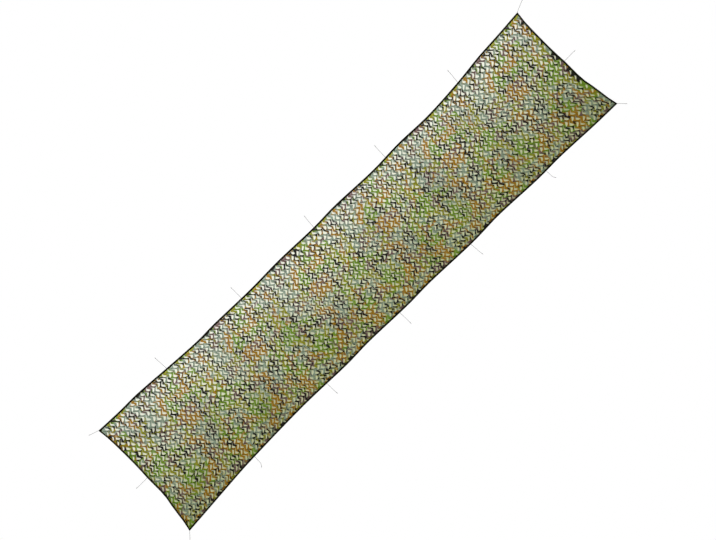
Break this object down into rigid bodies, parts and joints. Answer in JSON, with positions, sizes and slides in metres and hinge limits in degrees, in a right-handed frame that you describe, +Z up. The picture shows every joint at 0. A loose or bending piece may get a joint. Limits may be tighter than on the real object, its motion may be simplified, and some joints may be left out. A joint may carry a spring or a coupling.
{
  "type": "camouflage net",
  "caption": "Long rectangular camouflage net of slit woven cloth with a dark bound edge and short tie cords at its corners and along its sides, spread flat for covering or screening.",
  "frame": {"origin": "middle of the spread net's outline, on the surface it lies on", "axes": "+X along the net's length towards its right end, +Y across it towards the rear long edge, +Z up from the surface"},
  "size_m": [6.8762, 1.7648, 0.0129],
  "materials": {
    "camouflage_cloth": "matt woven cloth with a leaf-green, brown and black print, slit into scallops",
    "edge_tape": "matt woven tape, near black",
    "tie_cord": "thin twisted cord, matt near black"
  },
  "bodies": {
    "root": {"net_cloth": "camouflage_cloth", "tape_rear": "edge_tape", "tape_front": "edge_tape", "tape_left": "edge_tape", "tape_right": "edge_tape", "tie_rear_1": "tie_cord", "tie_rear_2": "tie_cord", "tie_rear_3": "tie_cord", "tie_rear_4": "tie_cord", "tie_rear_5": "tie_cord", "tie_front_1": "tie_cord", "tie_front_2": "tie_cord", "tie_front_3": "tie_cord", "tie_front_4": "tie_cord", "tie_front_5": "tie_cord", "tie_left": "tie_cord", "tie_right": "tie_cord", "tie_rear_left": "tie_cord", "tie_front_left": "tie_cord", "tie_rear_right": "tie_cord", "tie_front_right": "tie_cord"}
  },
  "joints": []
}
